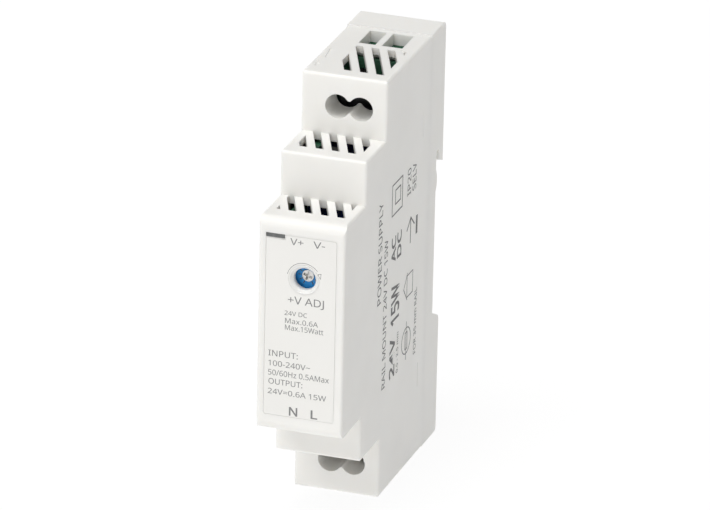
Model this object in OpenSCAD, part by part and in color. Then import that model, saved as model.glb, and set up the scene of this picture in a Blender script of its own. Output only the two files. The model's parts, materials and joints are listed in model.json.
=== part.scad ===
// Slim power supply for a 35 mm rail: a stepped case in two shells, screw terminals at the top
// and the bottom, a sprung rail latch at the back, an adjuster and a lamp window on the nose.
// X is the width, Y runs from the nose at the front to the back, Z is up. Millimetres.
// Everything is laid out with y = 0 at the nose and is drawn with y = 0 at half the depth.

/* [Overall size] */
// Width along the rail
body_w = 18; // [17.6:0.1:24]
// Height
body_h = 90; // [88:1:110]
// Depth from the nose to the back
body_d = 61; // [60:0.5:75]

/* [Front steps] */
// Height of the nose, which carries the label
nose_h = 45.6; // [44.5:0.1:48]
// Depth of the nose in front of the shoulder
nose_d = 12.2; // [11:0.1:13]
// Height of each shoulder step
shoulder_h = 9.35; // [9:0.05:10.5]
// Depth of each shoulder step
shoulder_d = 12; // [11:0.1:12.8]
// Radius along the top and bottom edge of the nose
nose_round = 2; // [0.8:0.1:2.5]
// Radius of the other outside edges of the front housing
edge_round = 0.6; // [0.2:0.05:1]

/* [Walls] */
// Side walls
side_wall = 1.5; // [1.25:0.05:1.8]
// Wall over and under the terminals
top_wall = 1.5; // [1.3:0.1:1.8]
// Treads of the shoulders and of the nose
tread_wall = 1.6; // [1.2:0.1:1.9]
// Front walls
front_wall = 1.6; // [1.2:0.1:2]
// Back wall behind the parts
back_wall = 1.6; // [1.2:0.1:2]

/* [Rear housing] */
// Depth of the rear housing
rear_d = 9; // [8.8:0.1:10]
// How far the rear housing stands above the top of the front one
rear_proud = 0.25; // [0.1:0.05:0.4]
// Depth of the rail slot
slot_d = 4.2; // [4:0.1:4.6]
// Height of the mating rail
rail_h = 35; // [35, 35.2]
// Height of the rail's centre above the middle of the case
rail_rise = 0.4; // [0:0.1:1]
// Overlap of the fixed hook on the rail
hook_grip = 2; // [1.4:0.1:2.4]

/* [Rail latch] */
// Width of the latch
latch_w = 10; // [8:0.5:11]
// Travel of the latch when it is pulled down
latch_travel = 3; // [2:0.1:3.4]
// Running gap around the latch
latch_gap = 0.15; // [0.1:0.05:0.25]

/* [Terminals] */
// Distance between the two poles of a terminal
pole_pitch = 4.9; // [4.75:0.05:5.9]
// Height of the screws from the top and from the bottom of the case
pole_inset = 6.85; // [6.7:0.05:7.5]
// Width of each wire entry
entry_w = 4.3; // [4.2:0.05:4.5]
// Length of each wire entry from front to back
entry_l = 7.4; // [6.5:0.1:7.6]
// Depth of each wire entry below the top of the case
entry_depth = 2.4; // [2.1:0.1:2.6]
// Radius of each screwdriver hole
driver_r = 2.55; // [2.3:0.05:2.7]
// Half height of the neck between the screwdriver holes
driver_neck = 1.35; // [1:0.05:1.5]
// Radius of the clamp screw's shank
screw_r = 1.25; // [1.05:0.05:1.5]
// Travel of the cage from open to closed
cage_travel = 2; // [1.5:0.1:2]

/* [Vents] */
// Distance between the slots across the case
vent_pitch = 3.38; // [3.2:0.02:3.8]
// Width of a slot across the case
vent_w = 1.65; // [1:0.05:2]
// Sideways lean of the slots for each millimetre towards the back
vent_lean = 0.415; // [0.2:0.005:0.6]

/* [Nose] */
// Width of the label
label_w = 14.7; // [13:0.1:15.4]
// Height of the label
label_h = 38.7; // [36:0.1:40]
// Radius of the adjuster hole
adjuster_r = 2.3; // [1.8:0.05:2.6]
// Radius of the adjuster's rotor
rotor_r = 1.2; // [1:0.05:1.4]
// Width of the lamp window
window_w = 4; // [3:0.1:4.4]
// Height of the lamp window
window_h = 0.9; // [0.7:0.05:1.1]

/* [Circuit board] */
// Thickness of the board
board_t = 1.6; // [1.2:0.1:1.6]
// Gap between the left wall and the board, for the solder joints
board_gap = 1.6; // [1.5:0.1:2]

/* [Hidden] */
$fn = 48;

eps = 0.01;
far = 200;               // longer than any wall that a cut passes through

// Levels of the case
mid_z = body_h / 2;
step_y = nose_d + shoulder_d;
seam_y = body_d - rear_d;
shell_z1 = body_h - rear_proud;              // top of the front housing
hollow_z = shell_z1 - top_wall;              // top of its inside
nose_z0 = mid_z - nose_h / 2;
nose_z1 = mid_z + nose_h / 2;
shoulder_z0 = nose_z0 - shoulder_h;
shoulder_z1 = nose_z1 + shoulder_h;
inner_x = body_w / 2 - side_wall;

// Tube behind the screwdriver holes
driver_depth = 6.8;
tube_wall = 0.7;

// Vents: the left edge of one slot of each row, at the back of the row
vent_half_w = 7.1;
top_vent_x = -3.72;
shoulder_vent_x = -6.42;
nose_vent_x = -7.64;
nose_vent_y = 4.8;
mark_depth = 0.15;
// Ends of three more slots, closed from inside and left as shallow marks behind the top step
closed_ends = [
    [[-7.8, 13.7], [-7.35, 13.5], [-6.45, 9.1], [-6.85, 8.4], [-7.25, 9]],
    [[-8, 5.7], [-7.7, 6.3], [-6.9, 4.8], [-6.85, 4.2], [-7.5, 3.5]],
    [[5.5, 18.2], [6, 18.1], [7.05, 16.4], [7.2, 15.4], [6.3, 16.3]]
];

// Board, with the parts on its right-hand face
board_x0 = -inner_x + board_gap;
face_x = board_x0 + board_t;
board_clear = 0.6;                           // board edge to the inside of a wall
board_y0 = front_wall + 2.6;
board_y1 = nose_d + front_wall + board_clear;
board_y2 = step_y + driver_depth + 1;
board_y3 = seam_y - 0.4;
board_z1 = nose_z1 - tread_wall - board_clear;
board_z2 = shoulder_z1 - tread_wall - board_clear;
board_z3 = hollow_z - board_clear;
stop_z = [mid_z - 15, mid_z + 4];
stop_h = 3;
pad_z = [mid_z - 17, mid_z + 14.6];
pad_h = 4;
rear_stop_z = [mid_z - 16, mid_z + 11];
rear_stop_h = 5;

// Terminal block, seen as the upper one: depth runs backwards, height up from the board side
pole_wall = 0.75;
cage_w = 3.9;
cage_clear = 0.15;
cage_l = 4.5;
cage_h = 5.6;
cage_skin = 0.7;
cage_nut = 1.1;
head_r = 1.9;
head_h = 1.45;
head_clear = 0.15;
cavity_w = cage_w + 2 * cage_clear;
pole_x = [for (i = [0, 1]) face_x + pole_wall + cavity_w / 2 + i * pole_pitch];
block_x1 = pole_x[1] + cavity_w / 2 + pole_wall - 0.1;
block_back_wall = 0.7;
block_y1 = seam_y - 0.8;
cavity_y1 = block_y1 - block_back_wall;
cage_y1 = cavity_y1 - 0.1;                   // back of an open cage
cage_y0 = cage_y1 - cage_l;                  // front of an open cage
cavity_y0 = cage_y0 - cage_travel - 0.1;
screw_wall = 0.7;
head_y1 = cavity_y0 - screw_wall - 0.05;
block_y0 = head_y1 - head_h - 0.1;
pole_z = body_h - pole_inset;
block_z1 = shell_z1 - entry_depth - 0.15;
block_z0 = pole_z - 5.55;
bar_t = 0.5;
bar_w = 2.3;
bar_y0 = cage_y0 + cage_nut + 0.05;
screw_tip_y = bar_y0 - 0.1;
entry_y1 = block_y1 - 0.6;
entry_y0 = entry_y1 - entry_l;
entry_x = [[pole_x[0] - entry_w / 2, pole_x[0] + entry_w / 2 - 0.8],
           [pole_x[1] - entry_w / 2, pole_x[1] + entry_w / 2]];
collar_wall = 0.6;

// Rail slot and latch
slot_y = body_d - slot_d;
rail_z0 = mid_z + rail_rise - rail_h / 2;
rail_z1 = rail_z0 + rail_h;
ledge_z = rail_z0 - 0.1;
hook_z = rail_z1 - hook_grip;
groove_w = 1.5;
groove_z = rail_z1 + 0.4;
latch_y0 = slot_y + 0.6;
latch_y1 = body_d - 0.4;
latch_z0 = 0.6;
latch_z1 = ledge_z - 0.5;
catch_y0 = slot_y + groove_w - 0.1;
catch_h = 1.9;
tongue_w = 1;
tongue_y0 = latch_y0 + 0.8;
tongue_t = 1.2;
tongue_z0 = 5;
tongue_z1 = 22;
spring_r = 1.1;                              // middle of the wire
spring_wire = 0.4;
spring_turns = 8;
spring_x = 1.6;                              // half width of the spring's window
peg_z0 = 8;
peg_h = 1.5;
window_z0 = peg_z0 - latch_gap;
spring_room = 9.9;                          // length of the spring at rest
window_z1 = peg_z0 + peg_h + spring_room;
spring_y = latch_y0 + 1.6;

// Snap arms of the rear housing, and the grooves that they catch in
snap_z = [mid_z - 27.35, mid_z + 27.35];
snap_w = 5.5;
snap_y = seam_y - 4.1;
snap_t = 1;
snap_bump = 0.4;
fit_gap = 0.05;

// Nose
label_t = 0.15;
label_z0 = mid_z - 19.2;
label_x0 = -label_w / 2 - 0.15;
adjuster_x = 0.5;
adjuster_z = mid_z + 10.5;
adjuster_y = 2.8;
adjuster_bevel = 0.6;
window_x = -inner_x - 0.05;
window_z = mid_z + 18.65;

// ---- shared shapes ----

// Everything is laid out from the nose and then moved to the middle of the depth
module case() {
    translate([0, -body_d / 2, 0]) children();
}

// Puts the children at the top and, turned over about mid height, at the bottom
module top_and_bottom() {
    children();
    turned_over() children();
}

module turned_over() {
    translate([0, 0, body_h]) mirror([0, 0, 1]) children();
}

module box(x, y, z) {
    translate([x[0], y[0], z[0]]) cube([x[1] - x[0], y[1] - y[0], z[1] - z[0]]);
}

module rounded_square(w, h, r) {
    translate([r, 0]) square([w - 2 * r, h]);
    translate([0, r]) square([w, h - 2 * r]);
    for (x = [r, w - r], y = [r, h - r]) translate([x, y]) circle(r);
}

// Box with its four front edges, and its four edges from front to back, rounded
module stepped_block(y, z, front_r) {
    d = y[1] - y[0];
    h = z[1] - z[0];
    intersection() {
        translate([-body_w / 2, y[0], z[0]])
            rotate([90, 0, 90]) linear_extrude(body_w) rounded_square(d + 2 * front_r, h, front_r);
        translate([-body_w / 2, y[0], z[0]])
            linear_extrude(h) rounded_square(body_w, d + 2 * edge_round, edge_round);
        translate([-body_w / 2, y[1], z[0]])
            rotate([90, 0, 0]) linear_extrude(d) rounded_square(body_w, h, edge_round);
    }
}

// One row of leaning slots in the plan, cut off at the edges of its field
module vent_field(x, y, first_x, slots) {
    intersection() {
        translate([x[0], y[0]]) square([x[1] - x[0], y[1] - y[0]]);
        for (i = [-1:slots - 1]) {
            edge = first_x + i * vent_pitch;
            drift = vent_lean * (y[1] - y[0]);
            polygon([[edge, y[1]], [edge + vent_w, y[1]],
                     [edge + vent_w + drift, y[0]], [edge + drift, y[0]]]);
        }
    }
}

// Two round holes with a smooth neck between them, in the X-Z plane
module driver_outline() {
    half = pole_pitch / 2;
    saddle_r = (half * half + driver_neck * driver_neck - driver_r * driver_r)
        / (2 * (driver_r - driver_neck));
    saddle_z = driver_neck + saddle_r;
    for (x = pole_x) translate([x, 0]) circle(driver_r);
    difference() {
        translate([pole_x[0] + half, 0])
            polygon([[-half, 0], [0, saddle_z], [half, 0], [0, -saddle_z]]);
        for (s = [-1, 1]) translate([pole_x[0] + half, s * saddle_z]) circle(saddle_r);
    }
}

// Extrudes an X-Z outline from y0 backwards
module along_y(y) {
    translate([0, y[1], 0]) rotate([90, 0, 0]) linear_extrude(y[1] - y[0]) children();
}

// ---- front housing ----

module front_solid() {
    stepped_block([0, nose_d + 2], [nose_z0, nose_z1], nose_round);
    stepped_block([nose_d, step_y + 2], [shoulder_z0, shoulder_z1], edge_round);
    stepped_block([step_y, seam_y], [0, shell_z1], edge_round);
}

module front_hollow() {
    x = [-inner_x, inner_x];
    box(x, [front_wall, seam_y + 1], [nose_z0 + tread_wall, nose_z1 - tread_wall]);
    box(x, [nose_d + front_wall, seam_y + 1], [shoulder_z0 + tread_wall, shoulder_z1 - tread_wall]);
    box(x, [step_y + front_wall, seam_y + 1], [body_h - hollow_z, hollow_z]);
}

module driver_tube() {
    difference() {
        translate([0, 0, pole_z]) along_y([step_y + front_wall - eps, step_y + driver_depth])
            union() {
                for (x = pole_x) translate([x, 0]) circle(driver_r + tube_wall);
                translate([pole_x[0], -driver_neck - tube_wall])
                    square([pole_pitch, 2 * (driver_neck + tube_wall)]);
            }
        translate([0, 0, pole_z]) along_y([step_y, far]) driver_outline();
    }
}

module vents() {
    translate([0, 0, hollow_z - eps]) linear_extrude(far)
        vent_field([-3.4, vent_half_w], [step_y + 3.4, entry_y0 - 1.7], top_vent_x, 4);
    translate([0, 0, shell_z1 - mark_depth]) linear_extrude(far)
        for (mark = closed_ends) translate([0, step_y]) polygon(mark);
    translate([0, 0, shoulder_z1 - tread_wall - eps]) linear_extrude(shoulder_h)
        vent_field([-vent_half_w, vent_half_w - 0.5], [nose_d + 3.55, step_y],
            shoulder_vent_x, 5);
    translate([0, 0, nose_z1 - tread_wall - eps]) linear_extrude(nose_h)
        vent_field([-vent_half_w, vent_half_w], [nose_vent_y, nose_d], nose_vent_x, 6);
}

module wire_entries() {
    for (x = entry_x)
        box(x, [entry_y0, entry_y1], [block_z1, far]);
}

// Rims that lead the wires from the entries down to the terminal block
module entry_collar() {
    box([entry_x[0][0] - collar_wall, entry_x[1][1] + collar_wall],
        [entry_y0 - collar_wall, entry_y1 + collar_wall],
        [shell_z1 - entry_depth, hollow_z + eps]);
}

// Stops in front of the board, pads under it, and ribs beside the terminal blocks
module board_supports() {
    for (z = stop_z)
        box([-inner_x - eps, face_x + 0.4], [front_wall - eps, board_y0], [z, z + stop_h]);
    for (z = pad_z)
        box([-inner_x - eps, board_x0], [board_y0 + 2, board_y0 + 4], [z, z + pad_h]);
    top_and_bottom()
        box([block_x1, inner_x + eps], [block_y0 + 2, block_y1 - 2], [pole_z - 3, pole_z + 3]);
}

module snap_grooves() {
    for (z = snap_z) {
        box([-inner_x - snap_bump - 0.1, inner_x + snap_bump + 0.1],
            [snap_y - 0.75, snap_y + 0.75], [z - snap_w / 2 - 0.1, z + snap_w / 2 + 0.1]);
        // witness line of the groove on the outside
        for (s = [-1, 1])
            box([s * body_w / 2 - 0.1, s * body_w / 2 + 0.1], [snap_y - 0.12, snap_y + 0.12],
                [z - snap_w / 2, z + snap_w / 2]);
    }
}

module nose_openings() {
    translate([adjuster_x, 0, adjuster_z]) rotate([-90, 0, 0]) {
        translate([0, 0, -eps]) cylinder(h = front_wall + 1, r = adjuster_r);
        translate([0, 0, -eps])
            cylinder(h = adjuster_bevel, r1 = adjuster_r + adjuster_bevel, r2 = adjuster_r);
    }
    box([window_x, window_x + window_w], [-1, front_wall + 1],
        [window_z, window_z + window_h]);
    translate([0, label_t, 0]) rotate([90, 0, 0]) linear_extrude(1) label_outline(0);
}

module front_housing() {
    color([0.93, 0.93, 0.91]) case() {
        difference() {
            union() {
                difference() {
                    front_solid();
                    front_hollow();
                }
                board_supports();
                top_and_bottom() {
                    driver_tube();
                    entry_collar();
                }
            }
            top_and_bottom() {
                translate([0, 0, pole_z]) along_y([step_y - 1, step_y + 3]) driver_outline();
                vents();
                wire_entries();
            }
            snap_grooves();
            nose_openings();
        }
    }
}

// ---- rear housing, hook and latch guide ----

module rear_profile() {
    lip_rise = 0.38;      // slope of the hook's underside
    ledge_fall = 0.46;    // slope of the lower ledge
    difference() {
        translate([seam_y, 0]) square([rear_d, body_h]);
        polygon([
            [slot_y, ledge_z],
            [body_d - 1.2, ledge_z - ledge_fall * (slot_d - 1.2)],
            [body_d - 0.4, ledge_z - ledge_fall * (slot_d - 1.2) - 0.5],
            [body_d + 1, ledge_z - ledge_fall * slot_d - 2.5],
            [body_d + 1, hook_z - lip_rise * (slot_d - groove_w) - 0.4],
            [body_d, hook_z - lip_rise * (slot_d - groove_w)],
            [slot_y + groove_w, hook_z],
            [slot_y + groove_w, groove_z],
            [slot_y, groove_z]
        ]);
    }
    // low bump that presses the rail against the hook
    intersection() {
        translate([slot_y - 3.2, hook_z - 4]) circle(4);
        translate([slot_y - eps, 0]) square([2, body_h]);
    }
}

module rear_hollow() {
    x = [-inner_x, inner_x];
    slot_inner = slot_y - back_wall;
    box(x, [seam_y - 1, slot_inner], [body_h - hollow_z, hollow_z]);
    box(x, [seam_y - 1, body_d - back_wall],
        [groove_z + back_wall, hollow_z]);
}

module latch_channel() {
    half = latch_w / 2 + latch_gap;
    box([-half, half], [latch_y0 - latch_gap, body_d + 1], [-1, ledge_z + 1]);
    // closed at the bottom, which stops the tongues when the latch is pulled right down
    box([-half - tongue_w, half + tongue_w],
        [tongue_y0 - latch_gap, tongue_y0 + tongue_t + latch_gap],
        [tongue_z0 - latch_travel - latch_gap, tongue_z1 + latch_gap]);
}

module snap_arms() {
    root_x = inner_x - fit_gap - snap_t;
    for (s = [0, 1]) mirror([s, 0, 0]) for (z = snap_z) {
        zr = [z - 3.5, z + 3.5];
        box([root_x, inner_x + 0.3], [seam_y, seam_y + 3], zr);
        box([root_x, inner_x - fit_gap], [snap_y - 1.4, seam_y + 1], zr);
        translate([0, 0, z - snap_w / 2]) linear_extrude(snap_w)
            polygon([[inner_x - fit_gap - eps, snap_y - 0.65],
                     [inner_x + snap_bump - 0.1, snap_y + 0.2],
                     [inner_x + snap_bump - 0.1, snap_y + 0.5],
                     [inner_x - fit_gap - eps, snap_y + 0.65]]);
    }
}

// Rims inside the seam, between the two terminal blocks
module rear_rims() {
    z = [body_h - block_z0 + 1, block_z0 - 1];
    for (s = [0, 1]) mirror([s, 0, 0]) {
        box([inner_x - 0.85, inner_x - fit_gap], [seam_y - 1.2, seam_y + 1], z);
        box([inner_x - 0.85, inner_x + 0.3], [seam_y, seam_y + 1], z);
    }
}

module rear_housing() {
    corner = 1.2;
    color([0.91, 0.91, 0.89]) case() {
        difference() {
            intersection() {
                translate([-body_w / 2, 0, 0])
                    rotate([90, 0, 90]) linear_extrude(body_w) rear_profile();
                translate([-body_w / 2, body_d, 0])
                    rotate([90, 0, 0]) linear_extrude(rear_d) rounded_square(body_w, body_h, 0.25);
                translate([-body_w / 2, seam_y - corner * 2, 0]) rotate([90, 0, 90])
                    linear_extrude(body_w) rounded_square(rear_d + corner * 2, body_h, corner);
            }
            rear_hollow();
            latch_channel();
        }
        box([-1.3, 1.3], [latch_y0 - latch_gap - eps, latch_y1 - 0.4], [peg_z0, peg_z0 + peg_h]);
        snap_arms();
        rear_rims();
        for (z = rear_stop_z)
            box([board_x0 - 0.4, face_x + 0.4], [board_y3, slot_y - back_wall + eps],
                [z, z + rear_stop_h]);
    }
}

module rail_latch() {
    half = latch_w / 2;
    color([0.2, 0.2, 0.21]) case() difference() {
        union() {
            box([-half, half], [latch_y0, latch_y1], [latch_z0, latch_z1]);
            box([-half - tongue_w + 0.05, half + tongue_w - 0.05],
                [tongue_y0, tongue_y0 + tongue_t], [tongue_z0, tongue_z1]);
            // catch behind the rail's lower flange, with a lead-in slope
            translate([-half, 0, 0]) rotate([90, 0, 90]) linear_extrude(latch_w)
                polygon([[catch_y0, latch_z1 - 1], [catch_y0, rail_z0 + catch_h - 0.3],
                         [catch_y0 + 0.3, rail_z0 + catch_h], [catch_y0 + 0.9, rail_z0 + catch_h],
                         [latch_y1, latch_z1 - 0.3], [latch_y1, latch_z1 - 1]]);
        }
        box([-spring_x, spring_x], [latch_y0 - 1, body_d], [window_z0, window_z1]);
        // slot for a screwdriver blade, and grip grooves above it
        box([-2.6, 2.6], [latch_y0 - 1, body_d], [2.2, 3.8]);
        for (z = [5, 6.2])
            box([-half - 1, half + 1], [latch_y1 - 0.3, body_d], [z, z + 0.6]);
    }
}

// Helical wire swept as a closed tube
module latch_spring() {
    sides = 8;
    per_turn = 14;
    rings = spring_turns * per_turn;
    wire = spring_wire / 2;
    z0 = peg_z0 + peg_h + wire + 0.02;
    rise = window_z1 - wire - 0.02 - z0;
    function at(i) = let (a = 360 * i / per_turn)
        [spring_r * cos(a), spring_r * sin(a), z0 + rise * i / rings];
    function ring(i) = let (a = 360 * i / per_turn, c = at(i))
        [for (k = [0:sides - 1]) let (b = 360 * k / sides)
            [c[0] + wire * cos(b) * cos(a), c[1] + wire * cos(b) * sin(a), c[2] + wire * sin(b)]];
    points = [for (i = [0:rings]) each ring(i)];
    walls = [for (i = [0:rings - 1], k = [0:sides - 1]) let (n = (k + 1) % sides)
        [i * sides + k, (i + 1) * sides + k, (i + 1) * sides + n, i * sides + n]];
    first = [for (k = [0:sides - 1]) k];
    last = [for (k = [sides - 1:-1:0]) rings * sides + k];
    color([0.75, 0.76, 0.78]) case() translate([0, spring_y, 0])
        polyhedron(points, concat([first, last], walls));
}

// ---- nose pieces ----

module label_outline(inset) {
    difference() {
        translate([label_x0 + inset, label_z0 + inset])
            rounded_square(label_w - 2 * inset, label_h - 2 * inset, 0.5);
        translate([adjuster_x, adjuster_z]) circle(adjuster_r + 0.85 + inset);
        translate([window_x - 1, window_z - 0.15 - inset])
            square([window_w + 1.15 + inset, window_h + 1]);
    }
}

module front_label() {
    color([0.95, 0.95, 0.94]) case() translate([0, label_t, 0])
        rotate([90, 0, 0]) linear_extrude(label_t - 0.02) label_outline(0.05);
}

module led_light_pipe() {
    color([0.6, 0.62, 0.62, 0.8]) case() {
        box([window_x + fit_gap, window_x + window_w - fit_gap], [0.1, board_y0],
            [window_z + fit_gap, window_z + window_h - fit_gap]);
        box([-inner_x + 0.1, window_x + window_w + 0.3], [front_wall, front_wall + 0.8],
            [window_z - 0.5, window_z + window_h + 0.4]);
    }
}

module trimmer_body() {
    color([0.1, 0.4, 0.75]) case() difference() {
        box([face_x, adjuster_x + 3.3], [adjuster_y, adjuster_y + 4.4],
            [adjuster_z - 3.3, adjuster_z + 3.3]);
        translate([adjuster_x, adjuster_y - 1, adjuster_z]) rotate([-90, 0, 0])
            cylinder(h = 3.2, r = rotor_r + 0.04);
        // scale marks around the rotor
        for (a = [-150:30:150]) translate([adjuster_x, adjuster_y, adjuster_z])
            rotate([0, a, 0]) box([-0.08, 0.08], [-1, 0.12], [rotor_r + 0.25, rotor_r + 0.75]);
    }
}

module trimmer_rotor() {
    blade = 0.55;
    color([0.8, 0.8, 0.8]) case() translate([adjuster_x, adjuster_y - 0.3, adjuster_z])
        difference() {
            rotate([-90, 0, 0]) cylinder(h = 2.4, r = rotor_r);
            for (a = [0, 90]) rotate([0, a + 20, 0])
                box([-rotor_r * 0.8, rotor_r * 0.8], [-1, 0.8], [-blade / 2, blade / 2]);
        }
}

module status_led() {
    color([0.95, 0.95, 0.8]) case()
        box([board_x0 - 0.7, board_x0], [board_y0 + 0.1, board_y0 + 1.7],
            [window_z - 0.2, window_z + window_h + 0.2]);
}

// ---- terminals, drawn as the upper one ----

module terminal_body() {
    difference() {
        box([face_x, block_x1], [block_y0, block_y1], [block_z0, block_z1]);
        for (x = pole_x) {
            box([x - cavity_w / 2, x + cavity_w / 2], [cavity_y0, cavity_y1],
                [pole_z - cage_h / 2 - cage_clear, pole_z + cage_h / 2 + cage_clear]);
            translate([x, block_y0 - 1, pole_z]) rotate([-90, 0, 0]) {
                cylinder(h = cavity_y0 - screw_wall - block_y0 + 1, r = head_r + head_clear);
                cylinder(h = cavity_y0 - block_y0 + 2, r = screw_r + 0.15);
            }
            // wire funnel
            box([x - 1.9, x + 1.9], [bar_y0 - 0.5, cavity_y1 - 0.1], [pole_z, block_z1 + 1]);
        }
        contact_bars();
    }
}

module contact_bars() {
    for (i = [0, 1]) {
        strap_z = block_z0 + 1.2 - 0.9 * i;
        y = [bar_y0, bar_y0 + bar_t];
        box([pole_x[i] - bar_w / 2, pole_x[i] + bar_w / 2], y, [strap_z, pole_z + 2.4]);
        box([board_x0 - 0.4, pole_x[i] + bar_w / 2], y, [strap_z, strap_z + 0.7]);
    }
}

module clamp_screw(x) {
    translate([x, 0, pole_z]) difference() {
        rotate([-90, 0, 0]) {
            translate([0, 0, head_y1 - head_h]) cylinder(h = head_h, r = head_r);
            translate([0, 0, head_y1 - eps])
                cylinder(h = screw_tip_y - head_y1 + eps, r = screw_r);
        }
        for (a = [0, 90]) rotate([0, a, 0])
            box([-1.4, 1.4], [0, head_y1 - head_h + 0.7], [-0.3, 0.3]);
        box([-head_r - 1, head_r + 1], [0, head_y1 - head_h + 0.5], [-0.3, 0.3]);
    }
}

module clamp_cage(x) {
    difference() {
        box([x - cage_w / 2, x + cage_w / 2], [cage_y0, cage_y1],
            [pole_z - cage_h / 2, pole_z + cage_h / 2]);
        box([x - cage_w / 2 + cage_skin, x + cage_w / 2 - cage_skin],
            [cage_y0 + cage_nut, cage_y1 - cage_skin], [0, far]);
        // clears the shank right through the travel of the cage
        translate([x, cage_y0 - 1, pole_z]) rotate([-90, 0, 0])
            cylinder(h = 1 + cage_nut + cage_travel, r = screw_r + 0.05);
    }
}

green = [0.12, 0.42, 0.3];
steel = [0.78, 0.78, 0.76];
tin = [0.83, 0.83, 0.8];

module output_terminal_body() { color(green) case() terminal_body(); }
module input_terminal_body() { color(green) case() turned_over() terminal_body(); }
module output_contact_bars() { color(tin) case() contact_bars(); }
module input_contact_bars() { color(tin) case() turned_over() contact_bars(); }
module output_screw_positive() { color(steel) case() clamp_screw(pole_x[0]); }
module output_screw_negative() { color(steel) case() clamp_screw(pole_x[1]); }
module input_screw_neutral() { color(steel) case() turned_over() clamp_screw(pole_x[0]); }
module input_screw_line() { color(steel) case() turned_over() clamp_screw(pole_x[1]); }
module output_cage_positive() { color(tin) case() clamp_cage(pole_x[0]); }
module output_cage_negative() { color(tin) case() clamp_cage(pole_x[1]); }
module input_cage_neutral() { color(tin) case() turned_over() clamp_cage(pole_x[0]); }
module input_cage_line() { color(tin) case() turned_over() clamp_cage(pole_x[1]); }

// ---- board and the parts on it ----

// Parts sit on the board with local X pointing away from it. at is y from the nose and z from
// mid height.
module on_board(at) {
    translate([face_x, at[0], mid_z + at[1]]) children();
}

// Upright cylinder on the board, and one that lies along Z
module can(r, h, from = 0) {
    translate([from, 0, 0]) rotate([0, 90, 0]) cylinder(h = h, r = r);
}

fuse_at = [board_y2 + 4.4, -mid_z + 8];
thermistor_at = [29.5, -26];
varistor_at = [35.2, -26];
filter_at = [45, -27.4];
choke_at = [45.2, -17.4];
bridge_at = [44, -7.4];
bulk_at = [10.8, -8];
bulk_r = 5;
bulk_l = 20;
transformer_at = [30, 6];
transistor_at = [27, -14];
chip_at = [43, 1];
opto_at = [20.6, 27.4];
safety_at = [45.5, 8.4];
diode_at = [40, 25];
output_caps_at = [[18.4, 19.5], [29.2, 25.6]];
inductor_at = [board_y2 + 4.8, mid_z - 8.2];

// Where each lead goes through the board: y, z from mid height, and length above the board
function pair(at, dy, dz, h) = [for (s = [-1, 1]) [at[0] + s * dy, at[1] + s * dz, h]];
leads = concat(
    pair(fuse_at, 2.5, 0, 0.3), pair(thermistor_at, 0, 2.5, 2), pair(varistor_at, 0, 2.5, 2),
    pair(filter_at, 5, 0, 0.3), pair(choke_at, 3.6, 3.6, 0.3),
    pair(choke_at, -3.6, 3.6, 0.3), pair(bridge_at, 3.2, 0, 0.3),
    pair(safety_at, 2.5, 0, 1.6), pair(opto_at, 3.9, 1.27, 1.6), pair(opto_at, -3.9, 1.27, 1.6),
    pair(output_caps_at[0], 1.75, 0, 0.3), pair(output_caps_at[1], 1.75, 0, 0.3),
    pair(inductor_at, 2.5, 0, 0.3), pair(diode_at, 6, 0, 3),
    [for (s = [-1, 0, 1]) [adjuster_y + 2.9, adjuster_z - mid_z + 2.5 * s, 0]],
    [for (s = [-1, 1]) [bulk_at[0] + 2.5 * s, bulk_at[1] + bulk_l / 2 + 1.6, 5.1]],
    [for (e = [-1, 1], s = [-1, 0, 1]) [transformer_at[0] + 6.2 * e, transformer_at[1] + 3.8 * s, 0]],
    [for (s = [-1, 0, 1]) [transistor_at[0] + 10.6, transistor_at[1] + 2.54 * s, 3.4]]
);
lead_r = 0.3;

module board_outline() {
    lower = [[board_y3, mid_z], [board_y3, body_h - board_z3], [board_y2, body_h - board_z3],
             [board_y2, body_h - board_z2], [board_y1, body_h - board_z2],
             [board_y1, body_h - board_z1], [board_y0, body_h - board_z1], [board_y0, mid_z]];
    polygon(lower);
    translate([0, body_h]) mirror([0, 1]) polygon(lower);
}

module main_board() {
    color([0.1, 0.32, 0.2]) case() difference() {
        translate([board_x0, 0, 0]) rotate([90, 0, 90]) linear_extrude(board_t) board_outline();
        for (p = leads) on_board(p) can(lead_r + 0.15, board_t + 2, -board_t - 1);
        top_and_bottom() contact_bars();
    }
}

module component_leads() {
    color(tin) case() {
        for (p = leads) on_board(p) can(lead_r, board_t + p[2], -board_t);
        // bent ends of the capacitor that lies down, of the diode and of the transistor
        for (s = [-1, 1]) on_board([bulk_at[0] + 2.5 * s, bulk_at[1] + bulk_l / 2])
            translate([5.1, 0, 0.4]) cylinder(h = 1.2, r = lead_r);
        for (s = [-1, 1]) on_board([diode_at[0] + s * 5.25, diode_at[1]])
            translate([3, 0.75, 0]) rotate([90, 0, 0]) cylinder(h = 1.5, r = lead_r);
        for (s = [-1, 0, 1]) on_board([transistor_at[0] + 8, transistor_at[1] + 2.54 * s])
            translate([3.4, 0, 0]) rotate([-90, 0, 0]) cylinder(h = 2.6, r = lead_r);
    }
}

module solder_joints() {
    color([0.8, 0.8, 0.82]) case() for (p = leads) on_board(p)
        translate([-board_t, 0, 0]) rotate([0, -90, 0]) cylinder(h = 0.5, r1 = 0.9, r2 = 0.4);
}

module fuse() {
    color([0.25, 0.16, 0.1]) case() on_board(fuse_at) can(4, 7.6, 0.3);
}

// Disc that stands on its edge, facing along Y
module disc_part(r, t) {
    difference() {
        translate([r + 1.8, t / 2, 0]) rotate([90, 0, 0]) cylinder(h = t, r = r);
        translate([r + 1.8, t / 2 + eps, 0]) rotate([90, 0, 0])
            difference() {
                cylinder(h = 0.4, r = r + 1);
                translate([0, 0, -1]) cylinder(h = 3, r = r - 0.5);
            }
    }
}

module inrush_thermistor() {
    color([0.15, 0.15, 0.15]) case() on_board(thermistor_at)
        disc_part(3.9, 3.4);
}

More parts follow.
